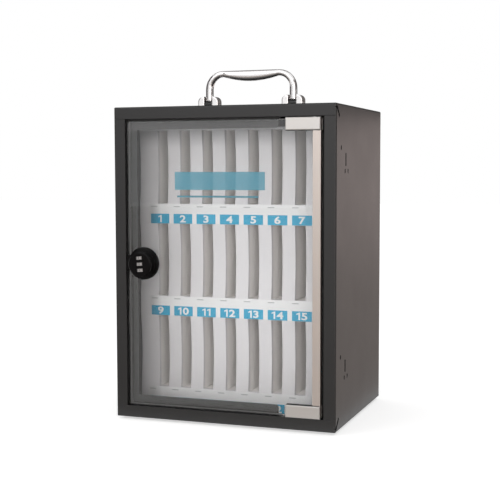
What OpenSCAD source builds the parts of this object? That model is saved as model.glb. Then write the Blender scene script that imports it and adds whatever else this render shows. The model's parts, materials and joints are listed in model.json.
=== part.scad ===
// Phone lock box: a folded steel case with a glass door, three moulded racks of
// numbered phone slots, a combination knob lock and a folding carrying handle.
// Lengths are millimetres. X runs to the right, Y to the back and Z up.
// The origin lies on the floor, below the middle of the whole part.

/* [Case] */
// Outer width of the steel case
case_w = 280; // [250:1:320]
// Outer depth of the steel case
case_d = 220; // [200:1:260]
// Outer height of the steel case
case_h = 380; // [350:1:420]
// Thickness of the steel sheet
sheet_t = 1.2; // [0.8:0.1:1.6]
// Outer radius of the folds
bend_r = 2; // [1.8:0.1:3]
// Width of the front frame's face
frame_w = 14.5; // [12:0.5:18]
// Depth from the front face to the door stop
stop_depth = 8.5; // [8:0.25:10]
// Width of the door stop lip
stop_w = 12.8; // [9:0.1:13.5]
// Length of the lip cut away beside each hinge
stop_notch = 57.2; // [50:0.1:70]
// Corner cut off the lip's ends there
stop_cut = 2; // [1:0.5:6]
// Width of the fold that closes the view past the hinge edge
blind_w = 10.5; // [8:0.5:12]
// Width of the rear flange
rear_flange = 14; // [10:0.5:20]
// Width of the butt seams on the frame
seam_w = 0.5; // [0.3:0.1:0.8]
// Depth of the butt seams on the frame
seam_depth = 0.4; // [0.2:0.1:0.5]
// Length of the open mitre on the hinge side, beside the front corner
mitre_l = 17; // [12:1:20]
// Width of that open mitre
mitre_w = 4; // [1:0.2:5]

/* [Side piercings] */
// Depth of the slit behind the front face
slit_depth = 42; // [40:1:50]
// Height of the slit
slit_h = 15; // [8:1:18]
// Width of the slit
slit_w = 4.4; // [1.5:0.1:6]
// Radius of the small holes' round ends
pierce_r = 2; // [1:0.1:2.4]
// Upright stretch between those ends
pierce_l = 1.6; // [0.5:0.1:3]
// Height of the lower group's slit above the case bottom
slit_low = 72; // [60:1:90]
// Distance of the upper group's slit below the case top
slit_high = 64; // [55:1:80]
// Rise and fall of the small holes from the slit's middle
pierce_rise = 13.5; // [12:0.5:16]

/* [Back] */
// Thickness of the rear panel
back_t = 1; // [0.8:0.1:1.5]
// Radius of a rivet's shank
rivet_r = 1.6; // [1.2:0.1:2]
// Radius of a rivet's head
rivet_head_r = 3.2; // [2.6:0.1:4]
// Height of a rivet's head
rivet_head_h = 1; // [0.6:0.1:1.4]

/* [Racks] */
// Phone slots across each rack
columns = 8; // [6:1:9]
// Depth of the racks' front behind the front face
rack_setback = 70; // [60:1:90]
// Clear width of a slot
slot_w = 13.7; // [11:0.1:15]
// Width of the rack beyond its outer slots
rack_end_w = 24.7; // [20:0.1:28]
// Height of the label band at the foot of a rack
label_h = 25.4; // [22:0.1:30]
// Wall of the moulding
rack_wall = 2; // [1.5:0.1:2.5]
// How far the fins' front edges scoop back at mid-height
scoop = 3; // [2:0.1:6]
// Thickness of the cover over the top rack
cover_t = 3; // [2:0.1:4]
// Free height between the cover and the case top
headroom = 22.4; // [16:0.1:30]
// Side clearance of the racks in the case
rack_clear = 0.6; // [0.3:0.1:1]

/* [Labels] */
// Bare width at each end of a card
card_margin = 12.4; // [10:0.1:16]
// Thickness of a card
card_t = 0.5; // [0.3:0.1:1]
// How far the bottom card lies to the left of the others
card_shift = 3.6; // [0:0.1:5]
// Width of a number block
tab_w = 25.4; // [20:0.1:27]
// Height of a number block
tab_h = 12.2; // [10:0.1:16]
// Thickness of a number block
tab_t = 0.2; // [0.1:0.1:0.4]

/* [Glass door] */
// Thickness of the glass
glass_t = 5; // [4:0.25:5.5]
// How far the glass lies behind the front face
glass_recess = 0.5; // [0.3:0.1:0.8]
// Gap beside the glass on the lock side
door_gap = 3.2; // [2.8:0.1:4]
// Gap beside the door on the hinge side
hinge_gap = 4; // [3.5:0.1:5]
// Ground bevel along the glass edges
glass_bevel = 0.5; // [0.2:0.1:0.8]
// Width of glass that the metal strip on the hinge edge covers
strip_w = 8.7; // [7:0.1:12]
// Thickness of the strip's metal
strip_t = 0.8; // [0.5:0.1:1]

/* [Hinges] */
// Length of a hinge clamp
clamp_l = 42; // [38:0.5:46]
// Height of a hinge clamp
clamp_h = 14.5; // [13:0.5:18]
// Thickness of the clamp's front plate
clamp_front_t = 2.5; // [2:0.1:3]
// Thickness of the clamp's rear plate
clamp_rear_t = 3; // [2.5:0.1:3.5]
// Thickness of the clamp's web past the glass edge
clamp_web_t = 1.5; // [1.2:0.1:2]
// Chamfer on the clamp's front edges
clamp_chamfer = 0.8; // [0.4:0.1:1.2]
// Thickness of the soft liner
liner_t = 0.5; // [0.3:0.1:0.8]
// Thickness of the pressure plate
plate_t = 1; // [0.8:0.1:1.2]
// Distance of the pivot axis from the hinge edge of the glass
pivot_inset = 7.7; // [7:0.1:10]
// Depth of the pivot axis behind the front face
pivot_depth = 4.5; // [4.4:0.1:5]
// Radius of a pivot pin
pin_r = 2; // [1.6:0.1:2]
// Wall of a pivot bush
bush_wall = 1; // [0.8:0.1:1]
// Radius of a bush's flange
bush_flange_r = 4; // [3.4:0.1:4.2]
// Thickness of a bush's flange
bush_flange_t = 0.8; // [0.6:0.1:1]
// Length of a bush below its flange
bush_l = 6; // [4:0.5:8]
// Radius of a clamp screw
clamp_screw_r = 2; // [1.5:0.1:2.5]
// Distance between the two screws of a clamp
clamp_screw_gap = 24; // [18:1:28]

/* [Lock] */
// Distance of the lock's axis from the free edge of the glass
lock_inset = 21.4; // [21:0.1:26]
// Height of the lock's axis above the middle of the case
lock_rise = 1; // [-20:0.5:20]
// How far the knob's face stands in front of the case
lock_proud = 14.2; // [14:0.1:16]
// Radius of the housing's flange
flange_r = 19.75; // [19:0.25:20.5]
// Thickness of the housing's flange
flange_t = 4; // [3.5:0.1:4.4]
// Radius of the housing's collar
collar_r = 18.2; // [17.8:0.1:18.8]
// Height of the housing's collar
collar_h = 1.6; // [1.2:0.1:2]
// Radius of the knob's skirt
skirt_r = 17.2; // [16.8:0.1:17.7]
// Radius of the knob's face
face_r = 13.3; // [12.8:0.1:14]
// Radius of the knob's core inside the housing
core_r = 13.2; // [12.8:0.1:13.6]
// Radius of the housing's threaded barrel
barrel_r = 8; // [7.5:0.1:8.2]
// Radius of the knob's spindle
spindle_r = 5; // [4.5:0.1:5.5]
// Size of the lock nut across its flats
nut_af = 20; // [18.5:0.1:20]
// Thickness of the lock nut
nut_t = 3.2; // [2.8:0.1:3.4]
// Radius of the lock washer
washer_r = 11.5; // [11:0.1:12]
// Thickness of the lock washer
washer_t = 0.8; // [0.5:0.1:0.9]
// Height of the tab that hooks round the glass edge
tab_band = 18; // [14:0.5:22]
// Thickness of that tab
tab_plate_t = 2.4; // [1.8:0.1:3]
// Reach of the cam from the lock's axis
cam_l = 18.5; // [17:0.5:22]
// Width of the cam
cam_w = 12; // [11:0.5:14]
// Thickness of the cam
cam_t = 2; // [1.5:0.1:2.5]
// Radius of a dial's corners
dial_r = 6.2; // [5.8:0.1:6.4]
// Thickness of a dial
dial_t = 3.5; // [3:0.1:4.8]
// Spacing of the dials
dial_pitch = 7.4; // [6.9:0.1:7.8]
// How far a dial stands out of the knob's face
dial_out = 0.7; // [0.3:0.1:1]
// Radius of the dial shaft
dial_shaft_r = 1.25; // [1:0.05:1.5]
// Turn of the knob at rest, against the clock
knob_lean = 5; // [0:1:10]

/* [Handle] */
// How far the handle stands in front of the middle of the case top
handle_forward = 5; // [0:0.5:10]
// Distance between the middles of the handle's arms
grip_span = 112; // [95:1:130]
// Height of the grip's top above the case
grip_rise = 49; // [42:0.5:60]
// Width of an arm, seen from the front
arm_w = 9.2; // [6:0.1:10]
// Width of an arm, seen from the side
arm_d = 9.2; // [8:0.1:10]
// Height of the grip at its ends
grip_end_t = 7.6; // [4.5:0.1:9]
// Height of the grip at its middle
grip_mid_t = 13.2; // [9:0.1:15]
// Depth of the grip at its middle
grip_mid_d = 13; // [11:0.1:13.5]
// Outer radius of the handle's corners
corner_out_r = 23; // [16:0.5:26]
// Inner radius of the handle's corners
corner_in_r = 14.5; // [9:0.5:18]
// Radius of the knuckle under an arm
knuckle_r = 4.6; // [4:0.1:5]
// Width of that knuckle
knuckle_w = 9.8; // [9.2:0.1:11]
// Radius of a handle pin
handle_pin_r = 2; // [1.5:0.1:2.5]
// Length of a saddle
saddle_l = 26.5; // [24:0.5:32]
// Depth of a saddle
saddle_d = 14; // [12:0.5:18]
// Height of a saddle
saddle_h = 17; // [15:0.5:20]
// Radius of a saddle's shoulders
shoulder_r = 7; // [4:0.5:8]
// Thickness of a saddle's floor
saddle_floor = 2.4; // [1.8:0.1:2.6]
// Radius of a handle screw
handle_screw_r = 2; // [1.5:0.1:2.2]

/* [Feet] */
// Radius of a foot
foot_r = 8; // [6:0.5:12]
// Height of a foot
foot_h = 3; // [2:0.5:6]
// Distance of a foot's middle from the case's sides
foot_inset = 22; // [16:1:40]

/* [Hidden] */
$fn = 64;

// Clearances
running = 0.05;
seat = 0.02;
slip = 0.3;
past = 1;

// Place of the case: the part is centred between the knob's face and the back
front_y = (lock_proud - case_d) / 2;
open_x = case_w / 2 - frame_w;
open_z0 = frame_w;
open_z1 = case_h - frame_w;
inner_x = case_w / 2 - sheet_t;
stop_x = open_x - stop_w;
notch_x = open_x - stop_notch;
stop_z0 = open_z0 + stop_w;
stop_z1 = open_z1 - stop_w;
rear_x = case_w / 2 - rear_flange;
back_front = case_d - sheet_t - back_t;

// Racks
rack_w = 2 * (inner_x - rack_clear);
rack_depth = back_front - rack_setback - rack_clear;
tier_h = (case_h - 2 * sheet_t - headroom - cover_t) / 3;
slot_h = tier_h - label_h;
slot_pitch = (rack_w - 2 * rack_end_w - slot_w) / (columns - 1);
card_w = rack_w - 2 * card_margin;
tab_pitch = card_w / columns;
scoop_half = slot_h / 2 - slip;
scoop_r = (scoop_half * scoop_half + scoop * scoop) / (2 * scoop);
fin_front_t = scoop + rack_wall;

// Door: the bottom clamp's web rests on its bush, the top one has play under its bush
web_gap = 0.1;
lift_play = 0.5;
glass_x = open_x - door_gap;
glass_z0 = open_z0 + bush_flange_t + running + clamp_web_t + web_gap;
glass_z1 = open_z1 - bush_flange_t - lift_play - clamp_web_t - web_gap;
glass_back = glass_recess + glass_t;
clamp_x1 = open_x - hinge_gap;
clamp_x0 = clamp_x1 - clamp_l;
hinge_x = clamp_x1 - strip_t;
pivot_x = hinge_x - pivot_inset;
plate_gap = 0.2;
clamp_in_front = glass_recess - liner_t;
clamp_in_rear = glass_back + liner_t + plate_t + plate_gap;
clamp_reach = clamp_h - clamp_web_t - web_gap;
clamp_front = clamp_in_front - clamp_front_t;
clamp_rear = clamp_in_rear + clamp_rear_t;
liner_show = 0.6;
clamp_mid_x = (clamp_x0 + clamp_x1) / 2;
bush_r = pin_r + running + bush_wall;

// Fold on the hinge stile, just behind the reach of the swinging clamps
sweep_r = norm([clamp_x1 - pivot_x, max(pivot_depth - clamp_front, clamp_rear - pivot_depth)]);
blind_d = pivot_depth + sweep_r + 2 * slip;

// Lock, along its axis from the glass to the knob's face
lock_x = lock_inset - glass_x;
lock_z = case_h / 2 + lock_rise;
collar_d = glass_recess - flange_t - collar_h;
core_clear = 0.4;
core_floor = 1.4;
core_d = glass_recess - core_floor - slip;
barrel_d = glass_back + washer_t + nut_t + slip;
cam_d = max(barrel_d, stop_depth + sheet_t) + 2 * slip;
dial_sides = 10;
dial_flat = dial_r * cos(180 / dial_sides);
dial_d = dial_flat - dial_out - lock_proud;
pocket_r = dial_r + slip;
pocket_h = dial_t + 2 * slip;
shaft_half = dial_pitch + dial_t / 2 + 2;
cam_screw_r = 1.5;
cam_screw_l = 6;
cam_screw_head_r = 3.2;
cam_screw_head_h = 2;
flat_half = spindle_r - 1.2;

// Handle
handle_y = case_d / 2 - handle_forward;
saddle_slot = max(knuckle_w, arm_w) + 2 * slip;
pivot_h = saddle_floor + max(knuckle_r, arm_d / 2) + slip;
lug_mid = (saddle_l + saddle_slot) / 4;
grip_end_d = arm_d;
arm_out = grip_span / 2 + arm_w / 2;
arm_in = grip_span / 2 - arm_w / 2;
grip_top = grip_rise - pivot_h;
arm_foot = knuckle_r - 2 * slip;
arm_steps = 3;
corner_steps = 7;
grip_steps = 8;
ring_sides = 20;
screw_bite = 4;
screw_head_r = 3.6;
screw_head_h = 2.4;

// Rivets round the rear flange
rivet_rows = 4;

// Moves the case's own frame, at its front bottom middle, to the part's frame
module in_case() translate([0, front_y, foot_h]) children();

// Lies along the lock's axis, with Z pointing to the back
module on_lock() in_case() translate([lock_x, 0, lock_z]) rotate([-90, 0, 0]) children();

// The same, turned as the knob rests
module on_knob() on_lock() rotate(-knob_lean) children();

// Outline drawn in X and Z, thick from one depth to another
module upright(d0, d1) translate([0, d1, 0]) rotate([90, 0, 0]) linear_extrude(d1 - d0) children();

// Outline drawn in depth and Z, thick from one X to another
module sideways(x0, x1) translate([x0, 0, 0]) rotate([90, 0, 90]) linear_extrude(x1 - x0) children();

// Block between two corners
module block(a, b) translate(a) cube(b - a);

// Rectangle between two corners with round corners
module soft_rect(a, b, r) {
    translate([a.x + r, a.y]) square([b.x - a.x - 2 * r, b.y - a.y]);
    translate([a.x, a.y + r]) square([b.x - a.x, b.y - a.y - 2 * r]);
    for (x = [a.x + r, b.x - r], y = [a.y + r, b.y - r])
        translate([x, y]) circle(r);
}

// Rectangle between two corners with cut corners
module cut_rect(a, b, c) polygon([
    [a.x + c, a.y], [b.x - c, a.y], [b.x, a.y + c], [b.x, b.y - c],
    [b.x - c, b.y], [a.x + c, b.y], [a.x, b.y - c], [a.x, a.y + c]
]);

// Solid body of the case with its folds rounded
module case_body() intersection() {
    upright(0, case_d) soft_rect([-case_w / 2, 0], [case_w / 2, case_h], bend_r);
    linear_extrude(case_h) soft_rect([-case_w / 2, 0], [case_w / 2, case_d + 2 * bend_r], bend_r);
    sideways(-case_w / 2, case_w / 2) soft_rect([0, 0], [case_d + 2 * bend_r, case_h], bend_r);
}

// Opening left by the door stop: full height beside the hinges, none of it on the hinge stile
module stop_opening() polygon([
    [-stop_x, stop_z0], [notch_x - stop_cut, stop_z0], [notch_x, stop_z0 - stop_cut],
    [notch_x, open_z0], [open_x, open_z0], [open_x, open_z1], [notch_x, open_z1],
    [notch_x, stop_z1 + stop_cut], [notch_x - stop_cut, stop_z1], [-stop_x, stop_z1]
]);

// Small upright hole with round ends
module small_hole() {
    square([2 * pierce_r, pierce_l], center = true);
    for (s = [-1, 1])
        translate([0, s * pierce_l / 2]) circle(pierce_r);
}

// Slit and holes of one side group, about the slit's middle, drawn in depth and Z
module piercing() {
    front_hole = slit_depth - 21;
    rear_hole = slit_depth + 10;
    hole_gap = 13.5;
    translate([slit_depth - slit_w / 2, -slit_h / 2]) square([slit_w, slit_h]);
    translate([front_hole, pierce_rise]) small_hole();
    for (d = [rear_hole - hole_gap, rear_hole])
        translate([d, -pierce_rise]) small_hole();
}

module seams() {
    for (s = [-1, 1], z = [open_z0, open_z1])
        translate([s * (open_x + case_w / 2) / 2, 0, z])
            cube([case_w / 2 - open_x, 2 * seam_depth, seam_w], center = true);
}

module mitre(z, turn) translate([case_w / 2, 0, z]) rotate([turn * 45, 0, 0])
    translate([-sheet_t - past / 2, bend_r, -mitre_w / 2]) cube([sheet_t + past, mitre_l, mitre_w]);

module rivet_places() {
    row_x = case_w / 2 - rear_flange / 2;
    row_z = rear_flange / 2;
    rise = (case_h - 2 * row_z) / (rivet_rows - 1);
    for (s = [-1, 1], i = [0 : rivet_rows - 1])
        translate([s * row_x, case_d, row_z + i * rise]) children();
    for (z = [row_z, case_h - row_z])
        translate([0, case_d, z]) children();
}

module saddle_screws() {
    for (s = [-1, 1], t = [-1, 1])
        translate([s * grip_span / 2 + t * lug_mid, handle_y, case_h]) children();
}

module case_shell() color("#3c3c3d") in_case() difference() {
    union() {
        difference() {
            case_body();
            block([-inner_x, sheet_t, sheet_t], [inner_x, case_d - sheet_t, case_h - sheet_t]);
            block([-rear_x, case_d / 2, rear_flange], [rear_x, case_d + past, case_h - rear_flange]);
        }
        block([-open_x - sheet_t, sheet_t / 2, open_z0 - sheet_t],
            [open_x + sheet_t, stop_depth + sheet_t, open_z1 + sheet_t]);
        block([open_x, stop_depth, open_z0 - sheet_t],
            [open_x + sheet_t, blind_d + sheet_t, open_z1 + sheet_t]);
        block([open_x - blind_w, blind_d, open_z0 - sheet_t],
            [open_x + sheet_t, blind_d + sheet_t, open_z1 + sheet_t]);
    }
    block([-open_x, -past, open_z0], [open_x, stop_depth, open_z1]);
    upright(stop_depth - past, stop_depth + 2 * sheet_t) stop_opening();
    seams();
    mitre(case_h - bend_r, -1);
    mitre(bend_r, 1);
    sideways(inner_x - past, case_w / 2 + past) {
        translate([0, slit_low]) piercing();
        translate([0, case_h - slit_high]) piercing();
    }
    for (z = [open_z0 - sheet_t - past, open_z1 - past])
        translate([pivot_x, pivot_depth, z]) cylinder(r = bush_r + seat, h = sheet_t + 2 * past);
    rivet_places() rotate([90, 0, 0]) translate([0, 0, -past])
        cylinder(r = rivet_r + seat, h = sheet_t + 2 * past);
    saddle_screws() translate([0, 0, -sheet_t - past])
        cylinder(r = handle_screw_r + running, h = sheet_t + 2 * past);
}

module back_panel() color("#3c3c3d") in_case() difference() {
    block([-inner_x + rack_clear, back_front, sheet_t + rack_clear],
        [inner_x - rack_clear, case_d - sheet_t, case_h - sheet_t - rack_clear]);
    rivet_places() rotate([90, 0, 0]) cylinder(r = rivet_r + seat, h = sheet_t + back_t + past);
}

module back_rivets() color("silver") in_case() rivet_places() {
    rotate([90, 0, 0]) cylinder(r = rivet_r, h = sheet_t + back_t);
    rotate([-90, 0, 0]) cylinder(r1 = rivet_head_r, r2 = rivet_head_r / 2, h = rivet_head_h);
}

// One rack: slots open to the front and top, fins and foot hollow from the rear
module rack(tier) in_case() translate([0, rack_setback, sheet_t + tier * tier_h]) difference() {
    block([-rack_w / 2, 0, 0], [rack_w / 2, rack_depth, tier_h]);
    for (i = [0 : columns - 1])
        translate([(i - (columns - 1) / 2) * slot_pitch, 0, 0])
            block([-slot_w / 2, -past, label_h], [slot_w / 2, rack_depth - rack_wall, tier_h + past]);
    for (i = [0 : columns - 2])
        translate([(i - columns / 2 + 1) * slot_pitch, 0, 0])
            block([slot_w / 2 + rack_wall - slot_pitch / 2, fin_front_t, label_h],
                [slot_pitch / 2 - slot_w / 2 - rack_wall, rack_depth + past, tier_h - rack_wall]);
    for (s = [0, 1])
        mirror([s, 0, 0])
            block([rack_w / 2 - rack_end_w + rack_wall, fin_front_t, label_h],
                [rack_w / 2 - rack_wall, rack_depth + past, tier_h - rack_wall]);
    block([-rack_w / 2 + rack_wall, rack_wall, rack_wall],
        [rack_w / 2 - rack_wall, rack_depth + past, label_h - rack_wall]);
    translate([0, scoop - scoop_r, label_h + slot_h / 2]) rotate([0, 90, 0])
        cylinder(r = scoop_r, h = rack_w + 2 * past, center = true, $fn = 360);
}

module tray_top() color("#e4e3e4") rack(2);
module tray_middle() color("#e4e3e4") rack(1);
module tray_bottom() color("#e4e3e4") rack(0);

module rack_cover() color("#e4e3e4") in_case() translate([0, rack_setback, sheet_t + 3 * tier_h])
    block([-rack_w / 2, 0, 0], [rack_w / 2, rack_depth, cover_t]);

// Middle of a rack's card
function card_x(tier) = tier == 0 ? -card_shift : 0;

module label_strip(tier) in_case() translate([card_x(tier), rack_setback, sheet_t + tier * tier_h])
    block([-card_w / 2, -card_t, slip], [card_w / 2, 0, label_h - slip]);

module label_strip_top() color("white") label_strip(2);
module label_strip_middle() color("white") label_strip(1);
module label_strip_bottom() color("white") label_strip(0);

module number_tabs(tier) in_case() translate([card_x(tier), rack_setback - card_t, sheet_t + tier * tier_h])
    for (i = [0 : columns - 1])
        translate([(i - (columns - 1) / 2) * tab_pitch, 0, slip])
            block([-tab_w / 2, -tab_t, 0], [tab_w / 2, 0, tab_h]);

module number_tabs_top() color("#44a6c8") number_tabs(2);
module number_tabs_middle() color("#44a6c8") number_tabs(1);
module number_tabs_bottom() color("#44a6c8") number_tabs(0);

// Flanged bush, its flange resting on the rail and its barrel pointing down
module bush() difference() {
    union() {
        cylinder(r = bush_flange_r, h = bush_flange_t);
        translate([0, 0, -bush_l]) cylinder(r = bush_r, h = bush_l + bush_flange_t);
    }
    translate([0, 0, -bush_l - past]) cylinder(r = pin_r + running, h = bush_l + bush_flange_t + 2 * past);
}

module pivot_bush_bottom() color("#1c1c1c") in_case() translate([pivot_x, pivot_depth, open_z0]) bush();
module pivot_bush_top() color("#1c1c1c") in_case() translate([pivot_x, pivot_depth, open_z1])
    mirror([0, 0, 1]) bush();

// One saddle about its arm's middle, standing on the case top
module saddle() difference() {
    upright(-saddle_d / 2, saddle_d / 2) difference() {
        union() {
            translate([-saddle_l / 2, 0]) square([saddle_l, saddle_h - shoulder_r]);
            translate([shoulder_r - saddle_l / 2, 0]) square([saddle_l - 2 * shoulder_r, saddle_h]);
            for (s = [-1, 1])
                translate([s * (saddle_l / 2 - shoulder_r), saddle_h - shoulder_r]) circle(shoulder_r);
        }
        translate([-saddle_slot / 2, saddle_floor]) square([saddle_slot, saddle_h]);
    }
    translate([-saddle_l, 0, pivot_h]) rotate([0, 90, 0])
        cylinder(r = handle_pin_r + seat, h = 2 * saddle_l);
    for (s = [-1, 1])
        translate([s * lug_mid, 0, -past]) cylinder(r = handle_screw_r + seat, h = screw_bite + past);
}

module handle_base_left() color("#d8d8da") in_case() translate([-grip_span / 2, handle_y, case_h]) saddle();
module handle_base_right() color("#d8d8da") in_case() translate([grip_span / 2, handle_y, case_h]) saddle();

module handle_pins() color("silver") at_arms()
    cylinder(r = handle_pin_r, h = saddle_l - 2 * slip, center = true);

module handle_screws() color("silver") in_case() saddle_screws() {
    translate([0, 0, -sheet_t]) cylinder(r = handle_screw_r, h = sheet_t + screw_bite - slip);
    translate([0, 0, -sheet_t - screw_head_h]) cylinder(r = screw_head_r, h = screw_head_h);
}

module feet() color("#202020")
    for (x = [-1, 1], y = [foot_inset, case_d - foot_inset])
        translate([x * (case_w / 2 - foot_inset), front_y + y, 0])
            cylinder(r1 = foot_r * 0.9, r2 = foot_r, h = foot_h);

module glass_pane() color("#c8dcd8", 0.35) in_case() difference() {
    intersection() {
        translate([0, 0, glass_z0]) linear_extrude(glass_z1 - glass_z0)
            cut_rect([-glass_x, glass_recess], [hinge_x, glass_back], glass_bevel);
        sideways(-glass_x, hinge_x)
            cut_rect([glass_recess, glass_z0], [glass_back, glass_z1], glass_bevel);
    }
    translate([lock_x, glass_recess - past, lock_z]) rotate([-90, 0, 0])
        cylinder(r = barrel_r + 2 * slip, h = glass_t + 2 * past);
}

// Hinge clamp with its slot opening upwards, about the glass edge
module clamp() difference() {
    foot = -web_gap - clamp_web_t;
    intersection() {
        sideways(clamp_x0, clamp_x1)
            cut_rect([clamp_front, foot], [clamp_rear, clamp_reach], clamp_chamfer);
        translate([0, 0, foot]) linear_extrude(clamp_h)
            cut_rect([clamp_x0, clamp_front], [clamp_x1, clamp_rear], clamp_chamfer);
    }
    block([clamp_x0 - past, clamp_in_front, -web_gap], [clamp_x1 + past, clamp_in_rear, clamp_h]);
    translate([pivot_x, pivot_depth, foot - past]) cylinder(r = pin_r + seat, h = clamp_web_t + 2 * past);
    clamp_screw_places() cylinder(r = clamp_screw_r + seat, h = clamp_rear_t + past);
}

// Starts of a clamp's screws on the pressure plate, pointing to the back
module clamp_screw_places()
    for (s = [-1, 1])
        translate([clamp_mid_x + s * clamp_screw_gap / 2, clamp_in_rear - plate_gap, clamp_reach / 2])
            rotate([-90, 0, 0]) children();

// Repeats a bottom hinge piece, drawn about the glass edge, at one end of the door
module at_glass_foot() in_case() translate([0, 0, glass_z0]) children();
module at_glass_head() in_case() translate([0, 0, glass_z1]) mirror([0, 0, 1]) children();

module hinge_clamp_bottom() color("#d9d7d3") at_glass_foot() clamp();
module hinge_clamp_top() color("#d9d7d3") at_glass_head() clamp();

module liner_pair()
    for (d = [clamp_in_front, glass_back])
        block([clamp_x0 + slip, d, slip], [hinge_x - strip_w - slip, d + liner_t, clamp_reach + liner_show]);

module clamp_liners() color("#181818") {
    at_glass_foot() liner_pair();
    at_glass_head() liner_pair();
}

module pressure_plate()
    block([clamp_x0 + slip, glass_back + liner_t, slip],
        [hinge_x - strip_w - slip, glass_back + liner_t + plate_t, clamp_reach - slip]);

module pressure_plates() color("silver") {
    at_glass_foot() pressure_plate();
    at_glass_head() pressure_plate();
}

module clamp_screw_pair() clamp_screw_places() difference() {
    cylinder(r = clamp_screw_r, h = clamp_rear_t + plate_gap);
    translate([0, 0, clamp_rear_t / 2]) cylinder(r = clamp_screw_r * 0.55, h = clamp_rear_t, $fn = 6);
}

module clamp_screws() color("gray") {
    at_glass_foot() clamp_screw_pair();
    at_glass_head() clamp_screw_pair();
}

module pin(reach) translate([pivot_x, pivot_depth, -reach])
    cylinder(r = pin_r, h = reach - web_gap / 2);

module pivot_pins() color("silver") {
    at_glass_foot() pin(glass_z0 - open_z0 + bush_l - slip);
    at_glass_head() pin(open_z1 - glass_z1 + bush_l - slip);
}

module edge_strip() color("#d6cfc8") in_case() {
    leg_z0 = glass_z0 + clamp_reach + liner_show + slip;
    leg_z1 = glass_z1 - clamp_reach - liner_show - slip;
    block([hinge_x, glass_recess, glass_z0], [clamp_x1, glass_back, glass_z1]);
    for (d = [glass_recess - strip_t, glass_back])
        block([hinge_x - strip_w, d, leg_z0], [clamp_x1, d + strip_t, leg_z1]);
}

// Fixed half of the lock: flange, collar and threaded barrel with the hook round the glass edge
module lock_housing() color("#141414") {
    hook_x = -glass_x - slip / 3;
    on_lock() difference() {
        union() {
            rotate_extrude() polygon([
                [0, collar_d], [collar_r - 0.4, collar_d], [collar_r, collar_d + 0.4],
                [collar_r, glass_recess - flange_t], [flange_r - 1, glass_recess - flange_t],
                [flange_r, glass_recess - flange_t + 1], [flange_r, glass_recess], [0, glass_recess]
            ]);
            translate([0, 0, glass_recess - past]) cylinder(r = barrel_r, h = barrel_d - glass_recess + past);
        }
        translate([0, 0, collar_d - past])
            cylinder(r = core_r + core_clear, h = glass_recess - core_floor - collar_d + past);
        translate([0, 0, collar_d]) cylinder(r = spindle_r + running, h = barrel_d - collar_d + past);
    }
    in_case() translate([0, 0, lock_z - tab_band / 2]) {
        block([hook_x - tab_plate_t / 2, glass_recess - tab_plate_t, 0],
            [lock_x - core_r - core_clear - past, glass_recess, tab_band]);
        block([hook_x - tab_plate_t / 2, glass_recess - tab_plate_t, 0],
            [hook_x, glass_back + tab_plate_t - slip, tab_band]);
        block([hook_x - tab_plate_t / 2, glass_back, 0],
            [hook_x + 2 * tab_plate_t, glass_back + tab_plate_t - slip, tab_band]);
    }
}

module lock_washer() color("#1c1c1c") on_lock() translate([0, 0, glass_back]) difference() {
    cylinder(r = washer_r, h = washer_t);
    translate([0, 0, -past]) cylinder(r = barrel_r + running, h = washer_t + 2 * past);
}

module lock_nut() color("#1c1c1c") on_lock() translate([0, 0, glass_back + washer_t]) difference() {
    rotate(30) cylinder(r = nut_af / 2 / cos(30), h = nut_t, $fn = 6);
    translate([0, 0, -past]) cylinder(r = barrel_r + seat, h = nut_t + 2 * past);
}

// Turning half of the lock: stepped knob with three dial pockets, core and flatted spindle
module lock_knob() color("#161616") on_knob() difference() {
    skirt_d = collar_d - slip;
    step_h = (lock_proud + skirt_d) / 3;
    step_r = (skirt_r + face_r) / 2;
    round_r = step_r - face_r;
    union() {
        rotate_extrude() {
            polygon([
                [0, core_d], [core_r, core_d], [core_r, skirt_d], [skirt_r - 0.4, skirt_d],
                [skirt_r, skirt_d - 0.4], [skirt_r, skirt_d - step_h + 0.5],
                [skirt_r - 0.5, skirt_d - step_h], [step_r, skirt_d - step_h],
                [step_r, round_r - lock_proud], [face_r, round_r - lock_proud],
                [face_r, -lock_proud], [0, -lock_proud]
            ]);
            intersection() {
                translate([face_r, round_r - lock_proud]) circle(round_r);
                translate([face_r - past, -lock_proud]) square([round_r + past, round_r]);
            }
        }
        translate([0, 0, core_d - past]) cylinder(r = spindle_r, h = cam_d - slip - core_d + past);
        translate([0, 0, cam_d - 2 * slip]) intersection() {
            cylinder(r = spindle_r - seat, h = cam_t + 2 * slip - running);
            translate([-flat_half, -spindle_r, 0]) cube([2 * flat_half, 2 * spindle_r, cam_t + past]);
        }
    }
    for (i = [-1 : 1])
        translate([0, i * dial_pitch, dial_d]) rotate([90, 0, 0])
            cylinder(r = pocket_r, h = pocket_h, center = true);
    translate([0, -shaft_half, dial_d]) rotate([-90, 0, 0])
        cylinder(r = dial_shaft_r + seat, h = shaft_half + skirt_r);
    translate([0, 0, cam_d + cam_t - cam_screw_l]) cylinder(r = cam_screw_r + seat, h = cam_screw_l + past);
}

module dial_shaft() color("silver") on_knob() translate([0, 0, dial_d]) rotate([-90, 0, 0])
    cylinder(r = dial_shaft_r, h = 2 * shaft_half - slip, center = true);

// Cam plate: hangs down when unlocked and swings behind the door stop to lock
module lock_cam() color("#1c1c1c") on_knob() translate([0, 0, cam_d]) linear_extrude(cam_t) difference() {
    union() {
        circle(cam_w / 2 + 1);
        translate([-cam_w / 2, 0]) square([cam_w, cam_l - cam_w / 4]);
        translate([-cam_w / 4, 0]) square([cam_w / 2, cam_l]);
        for (s = [-1, 1])
            translate([s * cam_w / 4, cam_l - cam_w / 4]) circle(cam_w / 4);
    }
    intersection() {
        circle(spindle_r + seat);
        square([2 * (flat_half + seat), 4 * spindle_r], center = true);
    }
}

module cam_screw() color("#1c1c1c") on_knob() translate([0, 0, cam_d + cam_t]) {
    cylinder(r = cam_screw_head_r, h = cam_screw_head_h);
    translate([0, 0, slip - cam_screw_l]) cylinder(r = cam_screw_r, h = cam_screw_l);
}

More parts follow.
